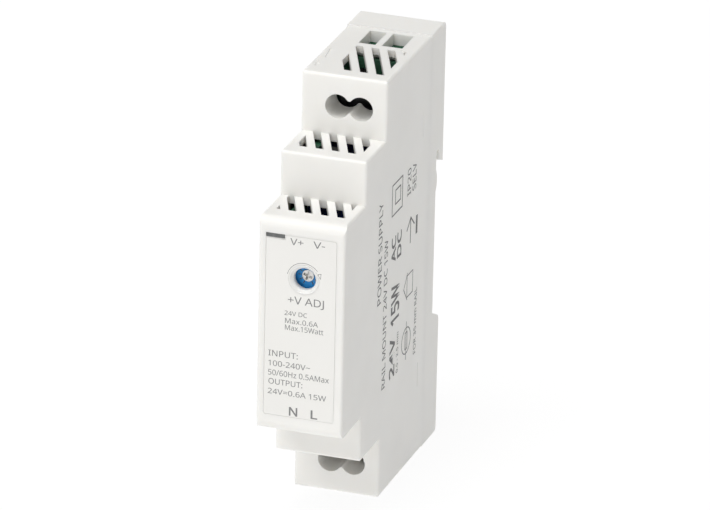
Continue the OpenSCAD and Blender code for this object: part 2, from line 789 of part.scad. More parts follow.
module varistor() {
    color([0.1, 0.25, 0.6]) case() on_board(varistor_at) disc_part(4.1, 3.8);
}

module filter_capacitor() {
    color([0.85, 0.75, 0.2]) case() on_board(filter_at)
        translate([0.3, -6.2, -3]) cube([9.6, 12.4, 6]);
}

module choke_base() {
    color([0.12, 0.12, 0.12]) case() on_board(choke_at)
        translate([0.3, -5.4, -5]) cube([1.2, 10.8, 10]);
}

choke_z = 2.1;           // underside of the ring core above the board
choke_in = 2.7;
choke_out = 4.6;
choke_t = 4.6;
choke_wire = 0.5;

module choke_core() {
    color([0.2, 0.35, 0.25]) case() on_board(choke_at)
        translate([choke_z, 0, 0]) rotate([0, 90, 0]) difference() {
            cylinder(h = choke_t, r = choke_out);
            translate([0, 0, -1]) cylinder(h = choke_t + 2, r = choke_in);
        }
}

module choke_windings() {
    color([0.7, 0.38, 0.16]) case() on_board(choke_at)
        translate([choke_z, 0, 0]) rotate([0, 90, 0]) for (a = [30, 210]) rotate([0, 0, a])
            rotate_extrude(angle = 120) difference() {
                translate([choke_in - choke_wire, -choke_wire])
                    square([choke_out - choke_in + 2 * choke_wire, choke_t + 2 * choke_wire]);
                translate([choke_in, 0]) square([choke_out - choke_in, choke_t]);
            }
}

module bridge_rectifier() {
    color([0.13, 0.13, 0.13]) case() on_board(bridge_at)
        translate([0.3, -4.2, -3.1]) difference() {
            cube([3.2, 8.4, 6.2]);
            // bevel that marks the polarity
            translate([3.2, 0, 0]) rotate([0, 45, 0]) translate([-0.5, -1, -0.5]) cube([1, 11, 1]);
        }
}

// Capacitor that lies along Z with its seal at the top
module bulk_capacitor_can() {
    color([0.8, 0.8, 0.82]) case() on_board(bulk_at)
        translate([bulk_r + 0.1, 0, -bulk_l / 2]) difference() {
            cylinder(h = bulk_l, r = bulk_r - 0.2);
            translate([0, 0, bulk_l - 1.4]) cylinder(h = 2, r = bulk_r - 0.6);
            // vent cross on the closed end
            for (a = [0, 90]) rotate([0, 0, a]) translate([-2.5, -0.1, -1]) cube([5, 0.2, 1.15]);
        }
}

module bulk_capacitor_sleeve() {
    color([0.1, 0.1, 0.12]) case() on_board(bulk_at)
        translate([bulk_r + 0.1, 0, -bulk_l / 2 + 0.3]) difference() {
            cylinder(h = bulk_l - 0.6, r = bulk_r);
            translate([0, 0, -1]) cylinder(h = bulk_l + 2, r = bulk_r - 0.2);
        }
}

module bulk_capacitor_seal() {
    color([0.2, 0.2, 0.2]) case() on_board(bulk_at)
        translate([bulk_r + 0.1, 0, bulk_l / 2 - 1.4]) cylinder(h = 1.2, r = bulk_r - 0.65);
}

// Transformer: two E cores on a bobbin, the coil's axis along Y
core_w = 16;
core_l = 7.2;            // each half
core_t = 5;
core_back = 2.5;
core_leg = 2.3;
core_mid = 4;
coil_x = 5.75;           // middle of the coil above the board
coil_h = 4.85;           // half heights of the coil
coil_w = 5.1;
tape_t = 0.25;
flange_t = 0.8;
bobbin_l = 2 * (core_l - core_back) - 0.2;
bobbin_wall = 0.6;

module core_half() {
    translate([coil_x - core_t / 2, 0, 0]) rotate([90, 0, 90]) linear_extrude(core_t) {
        translate([-core_l, -core_w / 2]) square([core_back, core_w]);
        for (z = [-core_w / 2, core_w / 2 - core_leg])
            translate([-core_l, z]) square([core_l, core_leg]);
        translate([-core_l, -core_mid / 2]) square([core_l, core_mid]);
    }
}

module transformer_core_front() {
    color([0.2, 0.2, 0.21]) case() on_board(transformer_at) core_half();
}

module transformer_core_rear() {
    color([0.2, 0.2, 0.21]) case() on_board(transformer_at)
        mirror([0, 1, 0]) core_half();
}

// Box ring around the coil's axis, from the inner to the outer half sizes in X and Z
module coil_ring(inner, outer, l) {
    translate([coil_x, -l / 2, 0]) difference() {
        translate([-outer[0], 0, -outer[1]]) cube([2 * outer[0], l, 2 * outer[1]]);
        translate([-inner[0], -1, -inner[1]]) cube([2 * inner[0], l + 2, 2 * inner[1]]);
    }
}

bobbin_in = [core_t / 2 + 0.05, core_mid / 2 + 0.05];
bobbin_out = [bobbin_in[0] + bobbin_wall, bobbin_in[1] + bobbin_wall];
coil_l = bobbin_l - 2 * flange_t;

module transformer_bobbin() {
    color([0.12, 0.12, 0.13]) case() on_board(transformer_at) {
        coil_ring(bobbin_in, bobbin_out, bobbin_l);
        for (s = [-1, 1]) translate([0, s * (bobbin_l - flange_t) / 2, 0])
            coil_ring(bobbin_in, [coil_h + 0.3, coil_w + 0.35], flange_t);
        // rails that carry the pins
        for (s = [0, 1]) mirror([0, s, 0])
            translate([0, bobbin_l / 2 - flange_t, -coil_w - 0.35])
                cube([coil_x - core_t / 2 - 0.1, 3.2, 2 * coil_w + 0.7]);
    }
}

module transformer_winding() {
    color([0.72, 0.4, 0.18]) case() on_board(transformer_at)
        coil_ring(bobbin_out, [coil_h, coil_w], coil_l);
}

module transformer_tape() {
    color([0.9, 0.75, 0.15]) case() on_board(transformer_at)
        coil_ring([coil_h, coil_w], [coil_h + tape_t, coil_w + tape_t], coil_l);
}

// Transistor lying on a bent aluminium plate, held by one screw
sink_t = 1.2;
tab_t = 1.3;
tab_hole_y = -5.6;

module heatsink() {
    color([0.8, 0.8, 0.82]) case() on_board(transistor_at) difference() {
        union() {
            translate([0, -8.6, -5.6]) cube([sink_t, 16.2, 12.4]);
            translate([0, -8.6, 5.6]) cube([9.6, 16.2, sink_t]);
        }
        translate([0, tab_hole_y, 0]) can(1.5, 4, -1);
    }
}

module switch_transistor() {
    color([0.12, 0.12, 0.12]) case() on_board(transistor_at) difference() {
        union() {
            translate([sink_t, -8.1, -5]) cube([tab_t, 7.2, 10]);
            translate([sink_t, -1.4, -5]) cube([4.4, 9, 10]);
        }
        translate([0, tab_hole_y, 0]) can(1.6, 4, 0);
    }
}

module heatsink_screw() {
    color(steel) case() on_board(transistor_at)
        translate([0, tab_hole_y, 0]) difference() {
            union() {
                can(1.45, sink_t + tab_t + eps, 0.1);
                can(2.5, 1.8, sink_t + tab_t);
            }
            for (a = [0, 90]) rotate([a, 0, 0])
                translate([sink_t + tab_t + 1, -1.6, -0.3]) cube([2, 3.2, 0.6]);
        }
}

module chip_package(size, legs, pitch) {
    translate([0.2, -size[0] / 2, -size[1] / 2]) cube([size[2], size[0], size[1]]);
    for (s = [0, 1], i = [0:legs - 1]) mirror([0, s, 0])
        translate([0, size[0] / 2 - eps, (i - (legs - 1) / 2) * pitch - 0.2]) {
            cube([0.2, 1, 0.4]);
            cube([0.8, 0.2, 0.4]);
        }
}

module controller_chip() {
    color([0.1, 0.1, 0.1]) case() on_board(chip_at)
        chip_package([3.9, 4.9, 1.4], 4, 1.27);
}

module optocoupler() {
    color([0.16, 0.16, 0.16]) case() on_board(opto_at) {
        translate([0.4, -3.2, -2.3]) cube([3.4, 6.4, 4.6]);
        for (s = [-1, 1], k = [-1.27, 1.27])
            translate([1.6, s > 0 ? 3.2 : -4.2, k - 0.3]) cube([0.3, 1, 0.6]);
    }
}

module safety_capacitor() {
    color([0.15, 0.35, 0.7]) case() on_board(safety_at)
        translate([5.5, 0, -1.8]) cylinder(h = 3.6, r = 3.9);
}

module output_diode() {
    color([0.14, 0.14, 0.15]) case() on_board(diode_at) difference() {
        translate([3, 4.5, 0]) rotate([90, 0, 0]) cylinder(h = 9, r = 2.5);
        // band at the cathode end
        translate([3, -2.6, 0]) rotate([90, 0, 0]) difference() {
            cylinder(h = 0.9, r = 3);
            translate([0, 0, -1]) cylinder(h = 3, r = 2.42);
        }
    }
}

module output_capacitor_cans() {
    color([0.8, 0.8, 0.82]) case() for (p = output_caps_at) on_board(p) difference() {
        can(3.85, 10.6, 0.3);
        for (a = [0, 90]) rotate([a, 0, 0]) translate([10.7, -2, -0.1]) cube([1, 4, 0.2]);
    }
}

module output_capacitor_sleeves() {
    color([0.12, 0.14, 0.3]) case() for (p = output_caps_at) on_board(p) difference() {
        can(4, 10.1, 0.5);
        can(3.85, 13, -1);
    }
}

module output_inductor_core() {
    color([0.2, 0.2, 0.2]) case() on_board(inductor_at) {
        can(3.7, 1.2, 0.3);
        can(1.6, 7.6, 0.3);
        can(3.7, 1.2, 7.2);
    }
}

// Winding under a black shrink film
module output_inductor_winding() {
    color([0.14, 0.14, 0.15]) case() on_board(inductor_at) difference() {
        can(3.4, 5.7, 1.5);
        can(1.6, 9, 0);
    }
}

module upright_chip() {
    translate([0, -0.4, -0.8]) cube([0.5, 0.8, 1.6]);
}

module chip_components() {
    color([0.25, 0.22, 0.2]) case() {
        for (i = [0:3]) on_board([39.6 + 2.6 * i, 4.6]) upright_chip();
        for (i = [0:2]) on_board([38.4, -4 + 2.4 * i]) rotate([90, 0, 0]) upright_chip();
        for (i = [0:3]) on_board([19 + 2.4 * i, 12.6]) upright_chip();
    }
}

// Sheet between the solder joints and the left wall
module insulation_sheet() {
    color([0.25, 0.25, 0.26]) case()
        box([-inner_x, -inner_x + 0.25], [nose_d + front_wall + 0.5, snap_y - 2],
            [shoulder_z0 + tread_wall + 0.3, shoulder_z1 - tread_wall - 0.3]);
}

front_housing();
rear_housing();
front_label();
led_light_pipe();
rail_latch();
latch_spring();
output_terminal_body();
output_screw_positive();
output_screw_negative();
output_cage_positive();
output_cage_negative();
output_contact_bars();
input_terminal_body();
input_screw_neutral();
input_screw_line();
input_cage_neutral();
input_cage_line();
input_contact_bars();
main_board();
trimmer_body();
trimmer_rotor();
status_led();
fuse();
inrush_thermistor();
varistor();
filter_capacitor();
choke_base();
choke_core();
choke_windings();
bridge_rectifier();
bulk_capacitor_can();
bulk_capacitor_sleeve();
bulk_capacitor_seal();
transformer_core_front();
transformer_core_rear();
transformer_bobbin();
transformer_winding();
transformer_tape();
switch_transistor();
heatsink();
heatsink_screw();
controller_chip();
optocoupler();
safety_capacitor();
output_diode();
output_capacitor_cans();
output_capacitor_sleeves();
output_inductor_core();
output_inductor_winding();
chip_components();
component_leads();
solder_joints();
insulation_sheet();
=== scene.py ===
"""Slim DIN rail power supply: looks, printing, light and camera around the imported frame."""

import json
import math

import bmesh
import bpy
from mathutils import Matrix, Vector


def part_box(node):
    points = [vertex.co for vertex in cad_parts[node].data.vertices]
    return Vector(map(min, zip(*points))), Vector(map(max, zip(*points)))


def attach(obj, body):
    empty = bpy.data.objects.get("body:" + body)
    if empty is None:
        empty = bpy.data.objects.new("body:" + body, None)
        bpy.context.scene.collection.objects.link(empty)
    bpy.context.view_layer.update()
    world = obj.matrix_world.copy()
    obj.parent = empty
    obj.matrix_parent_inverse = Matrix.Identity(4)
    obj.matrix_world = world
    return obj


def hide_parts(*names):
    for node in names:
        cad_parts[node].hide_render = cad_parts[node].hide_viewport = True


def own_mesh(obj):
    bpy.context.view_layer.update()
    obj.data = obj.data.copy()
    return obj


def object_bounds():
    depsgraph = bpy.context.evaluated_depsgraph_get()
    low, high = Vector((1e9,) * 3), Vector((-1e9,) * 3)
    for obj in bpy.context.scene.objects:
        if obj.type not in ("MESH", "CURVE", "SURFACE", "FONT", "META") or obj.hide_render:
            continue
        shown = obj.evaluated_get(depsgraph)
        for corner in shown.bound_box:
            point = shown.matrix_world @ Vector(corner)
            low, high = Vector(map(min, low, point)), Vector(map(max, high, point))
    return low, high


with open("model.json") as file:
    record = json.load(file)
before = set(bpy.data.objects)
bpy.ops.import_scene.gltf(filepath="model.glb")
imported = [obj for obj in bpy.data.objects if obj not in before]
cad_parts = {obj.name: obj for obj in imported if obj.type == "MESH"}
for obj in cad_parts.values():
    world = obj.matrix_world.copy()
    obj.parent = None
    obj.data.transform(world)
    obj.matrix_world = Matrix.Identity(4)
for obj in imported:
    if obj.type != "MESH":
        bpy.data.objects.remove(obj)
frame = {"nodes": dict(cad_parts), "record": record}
CAD_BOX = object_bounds()
NODES = frame["nodes"]
MM = 0.001

LOW, HIGH = (Vector(c) for c in CAD_BOX)
RIGHT_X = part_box("front_housing")[1].x
NOSE_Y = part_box("front_housing")[0].y
MID_Z = HIGH.z / 2


# ---------------------------------------------------------------- camera

CAMERA_AZIMUTH = 18.36      # degrees to the right of straight on
CAMERA_ELEVATION = 22.14
CAMERA_ROLL = 1.275
CAMERA_LENS = 382.34        # mm
CAMERA_DISTANCE = 1508.8 * MM
SENSOR_WIDTH = 36           # mm
AIM = Vector((0, NOSE_Y + 27 * MM, MID_Z))
AIM_RIGHT = 2.017 * MM      # how far the view's centre lies right of and above the aim
AIM_UP = 5.147 * MM


def add_camera():
    a, e, r = (math.radians(v) for v in (CAMERA_AZIMUTH, CAMERA_ELEVATION, CAMERA_ROLL))
    look = Vector((-math.sin(a) * math.cos(e), math.cos(a) * math.cos(e), -math.sin(e)))
    level_right = Vector((math.cos(a), math.sin(a), 0))
    level_up = level_right.cross(look)
    right = math.cos(r) * level_right + math.sin(r) * level_up
    up = -math.sin(r) * level_right + math.cos(r) * level_up
    place = AIM + AIM_RIGHT * right + AIM_UP * up - CAMERA_DISTANCE * look
    data = bpy.data.cameras.new("camera")
    data.sensor_width = SENSOR_WIDTH
    data.lens = CAMERA_LENS
    data.clip_start = 0.05
    data.clip_end = 50
    camera = bpy.data.objects.new("camera", data)
    turn = Matrix((right, up, -look)).transposed().to_4x4()
    camera.matrix_world = Matrix.Translation(place) @ turn
    bpy.context.scene.collection.objects.link(camera)
    bpy.context.scene.camera = camera


add_camera()


# ---------------------------------------------------------------- materials

CASE = (0.868, 0.857, 0.825)
CASE_GLOW = 0.4             # share of the light that scatters inside the case plastic
GLOW_DEPTH = 1.2 * MM
GLOW_TINT = (1, 0.95, 0.88)


# The colour sockets of a Mix node, which share their names with its other sockets
MIX_A, MIX_B, MIX_RESULT = 6, 7, 2


class Shader:
    """A Principled material and short calls that add nodes to it."""

    def __init__(self, name, color, roughness, metallic=0.0, specular=0.5):
        self.mat = bpy.data.materials.new(name)
        self.mat.use_nodes = True
        self.tree = self.mat.node_tree
        self.tree.nodes.clear()
        out = self.add("ShaderNodeOutputMaterial")
        self.bsdf = self.add("ShaderNodeBsdfPrincipled")
        self.link(self.bsdf.outputs[0], out.inputs["Surface"])
        self.base = (*color, 1)
        self.set("Base Color", self.base)
        self.set("Roughness", roughness)
        self.set("Metallic", metallic)
        self.set("Specular IOR Level", specular)
        coords = self.add("ShaderNodeTexCoord")
        scale = self.add("ShaderNodeMapping")
        scale.inputs["Scale"].default_value = (1 / MM, 1 / MM, 1 / MM)
        self.link(coords.outputs["Object"], scale.inputs["Vector"])
        self.place = scale.outputs["Vector"]      # position in millimetres
        self.normal = None

    def add(self, kind):
        return self.tree.nodes.new(kind)

    def link(self, a, b):
        self.tree.links.new(a, b)

    def set(self, socket, value):
        self.bsdf.inputs[socket].default_value = value

    def noise(self, per_mm, detail=2.0, roughness=0.5, stretch=(1, 1, 1)):
        where = self.place
        if stretch != (1, 1, 1):
            mapping = self.add("ShaderNodeMapping")
            mapping.inputs["Scale"].default_value = stretch
            self.link(self.place, mapping.inputs["Vector"])
            where = mapping.outputs["Vector"]
        node = self.add("ShaderNodeTexNoise")
        node.inputs["Scale"].default_value = per_mm
        node.inputs["Detail"].default_value = detail
        node.inputs["Roughness"].default_value = roughness
        self.link(where, node.inputs["Vector"])
        return node.outputs["Fac"]

    def wave(self, per_mm, direction="Y", distortion=0.0):
        node = self.add("ShaderNodeTexWave")
        node.bands_direction = direction
        node.inputs["Scale"].default_value = per_mm
        node.inputs["Distortion"].default_value = distortion
        self.link(self.place, node.inputs["Vector"])
        return node.outputs["Fac"]

    def spread(self, fac, low, high, from_low=0.3, from_high=0.7):
        node = self.add("ShaderNodeMapRange")
        node.inputs["From Min"].default_value = from_low
        node.inputs["From Max"].default_value = from_high
        node.inputs["To Min"].default_value = low
        node.inputs["To Max"].default_value = high
        self.link(fac, node.inputs["Value"])
        return node.outputs["Result"]

    def mix(self, fac, a, b):
        """Colour from a to b as fac goes from 0 to 1. a and b are colours or sockets."""
        node = self.add("ShaderNodeMix")
        node.data_type = "RGBA"
        self.link(fac, node.inputs["Factor"])
        for value, socket in ((a, node.inputs[MIX_A]), (b, node.inputs[MIX_B])):
            if isinstance(value, tuple):
                socket.default_value = value
            else:
                self.link(value, socket)
        return node.outputs[MIX_RESULT]

    def bump(self, height, strength, depth_mm):
        node = self.add("ShaderNodeBump")
        node.inputs["Strength"].default_value = strength
        node.inputs["Distance"].default_value = depth_mm * MM
        self.link(height, node.inputs["Height"])
        if self.normal is not None:
            self.link(self.normal, node.inputs["Normal"])
        self.normal = node.outputs["Normal"]
        self.link(self.normal, self.bsdf.inputs["Normal"])

    def color(self, socket):
        self.link(socket, self.bsdf.inputs["Base Color"])

    def roughness(self, socket):
        self.link(socket, self.bsdf.inputs["Roughness"])


def shade(color, factor):
    return tuple(min(1.0, c * factor) for c in color) + (1,)


def moulded(name, color, roughness=0.45, grain=5.0, depth=0.006, vary=0.02, specular=0.4,
            glow=0.0):
    """Moulded plastic: spark-eroded grain, slow colour drift and uneven gloss.

    glow is how much of its light scatters below the surface.
    """
    s = Shader(name, color, roughness, specular=specular)
    drift = s.noise(0.06, detail=3)
    s.color(s.mix(s.spread(drift, 0, 1), shade(color, 1 - vary), shade(color, 1 + vary)))
    s.roughness(s.spread(s.noise(0.35, detail=4), roughness - 0.05, roughness + 0.07))
    s.bump(s.noise(0.12, detail=2), 0.15, 0.03)
    s.bump(s.noise(grain, detail=2), 0.35, depth)
    if glow:
        s.set("Subsurface Weight", glow)
        s.set("Subsurface Scale", GLOW_DEPTH)
        s.set("Subsurface Radius", GLOW_TINT)
    return s.mat


def metal(name, color, roughness=0.3, stretch=(1, 1, 14), depth=0.004):
    """Plated or drawn metal with fine lines and tarnish."""
    s = Shader(name, color, roughness, metallic=1.0)
    tarnish = s.noise(0.8, detail=5, roughness=0.6)
    s.color(s.mix(s.spread(tarnish, 0, 1), shade(color, 0.82), shade(color, 1.04)))
    lines = s.noise(6, detail=3, stretch=stretch)
    s.roughness(s.spread(lines, roughness - 0.08, roughness + 0.14))
    s.bump(lines, 0.3, depth)
    return s.mat


def dipped(name, color, roughness=0.28):
    """Dipped epoxy coating: glossy, slightly lumpy."""
    s = Shader(name, color, roughness)
    s.color(s.mix(s.spread(s.noise(0.7, detail=3), 0, 1), shade(color, 0.85), shade(color, 1.1)))
    s.bump(s.noise(0.9, detail=2), 0.4, 0.08)
    s.bump(s.noise(9, detail=1), 0.2, 0.01)
    return s.mat


def wound(name, color, turns_per_mm=2.2, direction="Y"):
    """Enamelled copper wire wound side by side, with painted shade between the turns and a painted
    highlight on their crests.
    """
    s = Shader(name, color, 0.3, metallic=0.85)
    turns = s.wave(turns_per_mm / 2, direction, distortion=0.6)
    # painted shade: the wave darkens the grooves between turns; painted highlight: it lightens
    # each turn's crest
    s.color(s.mix(turns, shade(color, 0.45), shade(color, 1.1)))
    s.bump(turns, 0.8, 0.12)
    return s.mat


def board_material():
    """Green solder mask over copper tracks, with the weave of the laminate just showing."""
    mask, copper = (0.012, 0.062, 0.034), (0.025, 0.11, 0.058)
    s = Shader("board_material", mask, 0.3)
    cells = s.add("ShaderNodeTexVoronoi")
    cells.feature = "DISTANCE_TO_EDGE"
    cells.inputs["Scale"].default_value = 0.16
    s.link(s.place, cells.inputs["Vector"])
    tracks = s.spread(cells.outputs["Distance"], 0, 1, 0.035, 0.05)
    s.color(s.mix(tracks, (*mask, 1), (*copper, 1)))
    s.bump(tracks, 0.5, 0.035)
    s.bump(s.wave(1.4, "Z"), 0.1, 0.01)
    s.roughness(s.spread(s.noise(1.2), 0.24, 0.38))
    return s.mat


def sleeve(name, color, stripe):
    """Shrink sleeve of a capacitor, with a pale stripe along one side."""
    s = Shader(name, color, 0.22)
    split = s.add("ShaderNodeSeparateXYZ")
    s.link(s.place, split.inputs["Vector"])
    edge = s.spread(split.outputs["X"], 0, 1, stripe, stripe + 0.15)
    s.color(s.mix(edge, (*color, 1), (0.75, 0.78, 0.8, 1)))
    s.bump(s.noise(0.6, detail=2), 0.3, 0.05)
    return s.mat


def ferrite_material():
    s = Shader("ferrite_material", (0.035, 0.035, 0.04), 0.6, metallic=0.3)
    grain = s.noise(12, detail=4, roughness=0.7)
    s.color(s.mix(s.spread(grain, 0, 1), (0.02, 0.02, 0.023, 1), (0.075, 0.075, 0.08, 1)))
    s.bump(grain, 0.5, 0.02)
    return s.mat


def tape_material():
    s = Shader("tape_material", (0.72, 0.5, 0.05), 0.25)
    s.set("Coat Weight", 0.3)
    folds = s.noise(0.5, detail=3, stretch=(1, 3, 1))
    s.color(s.mix(s.spread(folds, 0, 1), (0.6, 0.4, 0.03, 1), (0.8, 0.58, 0.08, 1)))
    s.bump(folds, 0.4, 0.05)
    return s.mat


def light_pipe_material():
    """Smoked translucent moulding with faint moulding lines inside."""
    s = Shader("light_pipe_material", (0.16, 0.165, 0.165), 0.3)
    cloud = s.spread(s.noise(0.8, detail=3), 0, 1)
    s.color(s.mix(cloud, (0.13, 0.135, 0.135, 1), (0.2, 0.205, 0.2, 1)))
    s.bump(s.noise(3, detail=2), 0.2, 0.01)
    s.set("Transmission Weight", 0.25)
    return s.mat


def film_material():
    """Printed label film: smooth, a little glossier than the case."""
    s = Shader("film_material", CASE, 0.34, specular=0.35)
    s.color(s.mix(s.spread(s.noise(0.08), 0, 1), shade(CASE, 0.96), shade(CASE, 0.975)))
    s.roughness(s.spread(s.noise(0.5, detail=4), 0.3, 0.4))
    s.bump(s.noise(0.2, detail=2), 0.1, 0.02)
    s.bump(s.noise(7, detail=1), 0.15, 0.003)
    return s.mat


def ink(name, color):
    """Screen-printed ink with slightly uneven cover."""
    s = Shader(name, color, 0.5)
    cover = s.noise(3, detail=4, roughness=0.65)
    s.color(s.mix(s.spread(cover, 0, 1), shade(color, 0.85), shade(color, 1.2)))
    s.bump(cover, 0.2, 0.004)
    return s.mat


def solder_material():
    s = Shader("solder_material", (0.72, 0.73, 0.75), 0.22, metallic=1.0)
    flow = s.noise(2.5, detail=3)
    s.color(s.mix(s.spread(flow, 0, 1), (0.5, 0.51, 0.53, 1), (0.8, 0.81, 0.83, 1)))
    s.bump(flow, 0.4, 0.03)
    return s.mat


MATERIALS = {
    "case_plastic": moulded("case_material", CASE, 0.42, glow=CASE_GLOW),
    "rear_plastic": moulded("rear_material", shade(CASE, 0.99)[:3], 0.45, glow=CASE_GLOW),
    "label_film": film_material(),
    "light_pipe": light_pipe_material(),
    "latch_plastic": moulded("latch_material", (0.05, 0.05, 0.053), 0.4, vary=0.1),
    "spring_steel": metal("spring_material", (0.7, 0.71, 0.73), 0.25),
    "terminal_green": moulded("terminal_material", (0.055, 0.17, 0.1), 0.38, vary=0.08),
    "tinned_brass": metal("tin_material", (0.76, 0.76, 0.73), 0.28),
    "board": board_material(),
    "trimmer_blue": moulded("trimmer_material", (0.04, 0.33, 0.78), 0.3, grain=8, vary=0.08),
    "rotor_metal": metal("rotor_material", (0.75, 0.74, 0.72), 0.3, stretch=(1, 1, 1)),
    "lamp_chip": moulded("lamp_material", (0.85, 0.83, 0.6), 0.2, vary=0.05),
    "fuse_body": moulded("fuse_material", (0.06, 0.03, 0.02), 0.35, vary=0.1),
    "thermistor": dipped("thermistor_material", (0.03, 0.03, 0.03), 0.45),
    "varistor_blue": dipped("varistor_material", (0.02, 0.06, 0.3)),
    "capacitor_yellow": moulded("yellow_box_material", (0.65, 0.48, 0.04), 0.3, vary=0.05),
    "capacitor_blue": dipped("safety_material", (0.03, 0.14, 0.5)),
    "black_plastic": moulded("bobbin_material", (0.03, 0.03, 0.033), 0.45, vary=0.1),
    "core_green": dipped("ring_core_material", (0.05, 0.16, 0.08), 0.4),
    "enamel_wire": wound("winding_material", (0.62, 0.25, 0.08)),
    "chip_black": moulded("chip_material", (0.025, 0.025, 0.027), 0.5, grain=10, vary=0.1),
    "chip_brown": moulded("chip_part_material", (0.12, 0.09, 0.07), 0.4, vary=0.1),
    "can_aluminium": metal("can_material", (0.78, 0.79, 0.8), 0.3),
    "heatsink_aluminium": metal("heatsink_material", (0.76, 0.77, 0.78), 0.38, stretch=(1, 16, 1)),
    "sleeve_black": sleeve("bulk_sleeve_material", (0.012, 0.012, 0.014), 4.6),
    "sleeve_blue": sleeve("output_sleeve_material", (0.015, 0.02, 0.09), 3.9),
    "seal_rubber": moulded("seal_material", (0.03, 0.03, 0.03), 0.7, vary=0.1),
    "ferrite": ferrite_material(),
    "tape_yellow": tape_material(),
    "screw_steel": metal("screw_material", (0.72, 0.72, 0.7), 0.25, stretch=(1, 1, 1)),
    "solder": solder_material(),
    "insulation_film": moulded("sheet_material", (0.05, 0.05, 0.055), 0.5, depth=0.002),
    "shrink_film": dipped("shrink_material", (0.02, 0.02, 0.022), 0.35),
}
INK = ink("label_ink", (0.2, 0.2, 0.2))
INK_SIDE = ink("side_ink", (0.1, 0.1, 0.1))


# ---------------------------------------------------------------- CAD nodes

SLOTS = {s["node"]: s["material_slot"] for s in frame["record"]["subparts"]}


def dress_nodes():
    for name, obj in NODES.items():
        obj.data.materials.clear()
        obj.data.materials.append(MATERIALS[SLOTS[name]])


dress_nodes()


# ---------------------------------------------------------------- printing

PRINT_T = 0.012 * MM        # thickness of the ink
FONT_FILE = bpy.utils.resource_path("LOCAL") + "/datafiles/fonts/NotoSansHebrew-Regular.woff2"


def load_font():
    """Blender's own sans serif face, or its built-in one if that is missing."""
    try:
        return bpy.data.fonts.load(FONT_FILE)
    except RuntimeError:
        return None


FONT = load_font()


def add_mesh(name, bm, material, body="case"):
    mesh = bpy.data.meshes.new(name)
    bm.to_mesh(mesh)
    bm.free()
    obj = bpy.data.objects.new(name, mesh)
    bpy.context.scene.collection.objects.link(obj)
    obj.data.materials.append(material)
    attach(obj, body)
    return obj


def text_mesh(text, bold):
    """Flat lettering as a bmesh in its own X-Y plane, with some thickness."""
    data = bpy.data.curves.new("lettering", "FONT")
    data.body = text
    if FONT is not None:
        data.font = FONT
    data.size = 1
    data.extrude = 0.5
    data.offset = bold
    data.resolution_u = 3
    obj = bpy.data.objects.new("lettering", data)
    bpy.context.scene.collection.objects.link(obj)
    bpy.context.view_layer.update()
    mesh = bpy.data.meshes.new_from_object(obj)
    bm = bmesh.new()
    bm.from_mesh(mesh)
    bpy.data.objects.remove(obj)
    bpy.data.meshes.remove(mesh)
    bmesh.ops.remove_doubles(bm, verts=bm.verts, dist=1e-5)
    return bm


def fit(bm, low, high, to_world):
    """Scales a flat bmesh to fill low..high in its plane, then stands it on its surface."""
    xs, ys, zs = ([v.co[i] for v in bm.verts] for i in range(3))
    for v in bm.verts:
        u = low[0] + (v.co.x - min(xs)) / (max(xs) - min(xs)) * (high[0] - low[0])
        w = low[1] + (v.co.y - min(ys)) / (max(ys) - min(ys)) * (high[1] - low[1])
        lift = (v.co.z - min(zs)) / (max(zs) - min(zs)) * PRINT_T
        v.co = to_world(u * MM, w * MM, lift)


LABEL_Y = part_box("front_label")[0].y


def on_nose(u, w, lift):
    """u to the right of the middle and w above the underside, on the label."""
    return Vector((u, LABEL_Y - lift, w))


def on_side(u, w, lift):
    """u upwards from the underside and w forwards from the nose's plane, on the right side."""
    return Vector((RIGHT_X + lift, NOSE_Y - w, u))


def print_nose(name, text, x, z, bold=0.0):
    bm = text_mesh(text, bold)
    fit(bm, (x[0], z[0]), (x[1], z[1]), on_nose)
    return add_mesh("print_" + name, bm, INK)


def print_side(name, text, z, y, bold=0.0):
    bm = text_mesh(text, bold)
    fit(bm, (z[0], -y[1]), (z[1], -y[0]), on_side)
    return add_mesh("side_" + name, bm, INK_SIDE)


def stroke(bm, points, width, closed=False):
    """A flat line of even width through points, in the bmesh's X-Y plane."""
    n = len(points)
    pts = [Vector((p[0], p[1], 0)) for p in points]
    rows = []
    for i, p in enumerate(pts):
        before = pts[i - 1] if (closed or i > 0) else p
        after = pts[(i + 1) % n] if (closed or i < n - 1) else p
        d1, d2 = (p - before), (after - p)
        d1 = d1.normalized() if d1.length > 0 else d2.normalized()
        d2 = d2.normalized() if d2.length > 0 else d1
        tangent = (d1 + d2).normalized()
        side = Vector((-tangent.y, tangent.x, 0))
        reach = width / 2 / max(0.4, side.dot(Vector((-d1.y, d1.x, 0))))
        rows.append([[bm.verts.new(p + side * reach * s + Vector((0, 0, h))) for s in (-1, 1)]
                     for h in (0, 1)])
    steps = range(n if closed else n - 1)
    for i in steps:
        a, b = rows[i], rows[(i + 1) % n]
        (a00, a01), (a10, a11) = a
        (b00, b01), (b10, b11) = b
        for quad in ((a10, b10, b11, a11), (a00, a01, b01, b00),
                     (a00, b00, b10, a10), (a01, a11, b11, b01)):
            bm.faces.new(quad)
    if not closed:
        (a00, a01), (a10, a11) = rows[0]
        bm.faces.new((a00, a10, a11, a01))
        (b00, b01), (b10, b11) = rows[-1]
        bm.faces.new((b00, b01, b11, b10))


def arc(cx, cy, r, a0, a1, n=24):
    return [(cx + r * math.cos(math.radians(a0 + (a1 - a0) * i / n)),
             cy + r * math.sin(math.radians(a0 + (a1 - a0) * i / n))) for i in range(n + 1)]


def drawn(name, strokes, to_world, material):
    """Several strokes, (points, width, closed) in millimetres, as one printed piece."""
    bm = bmesh.new()
    for points, width, closed in strokes:
        stroke(bm, points, width, closed)
    for v in bm.verts:
        v.co = to_world(v.co.x * MM, v.co.y * MM, v.co.z * PRINT_T)
    return add_mesh(name, bm, material)


